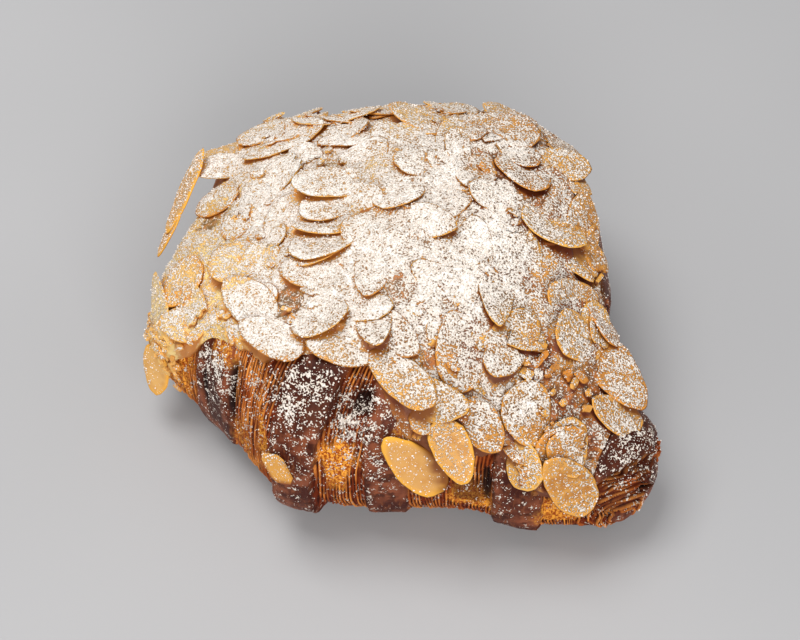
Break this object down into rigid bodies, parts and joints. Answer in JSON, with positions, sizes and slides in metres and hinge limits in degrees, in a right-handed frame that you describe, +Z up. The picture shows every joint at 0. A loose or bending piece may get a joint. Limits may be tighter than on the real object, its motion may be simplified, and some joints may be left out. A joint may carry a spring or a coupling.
{
  "type": "almond croissant",
  "caption": "Squat baked almond croissant with layered, slanting wraps on its bare front, under a lumpy crust of almond cream and overlapping flaked almonds.",
  "frame": {"origin": "middle of the outline seen from above, on the plane of the flat base", "axes": "+X along the roll, from the blunt left end to the free tip at the right; +Y towards the back; -Y towards the front, where the wraps are bare; +Z up"},
  "size_m": [0.154, 0.1293, 0.0756],
  "materials": {
    "crust": "baked pastry, satin brown outer wraps and matt orange layered edges",
    "almond": "matt baked almond cream and flaked almonds under icing sugar",
    "sugar": "dry powdered icing sugar, dead matt"
  },
  "bodies": {
    "root": {"croissant": "crust", "almond_topping": "almond"}
  },
  "joints": []
}
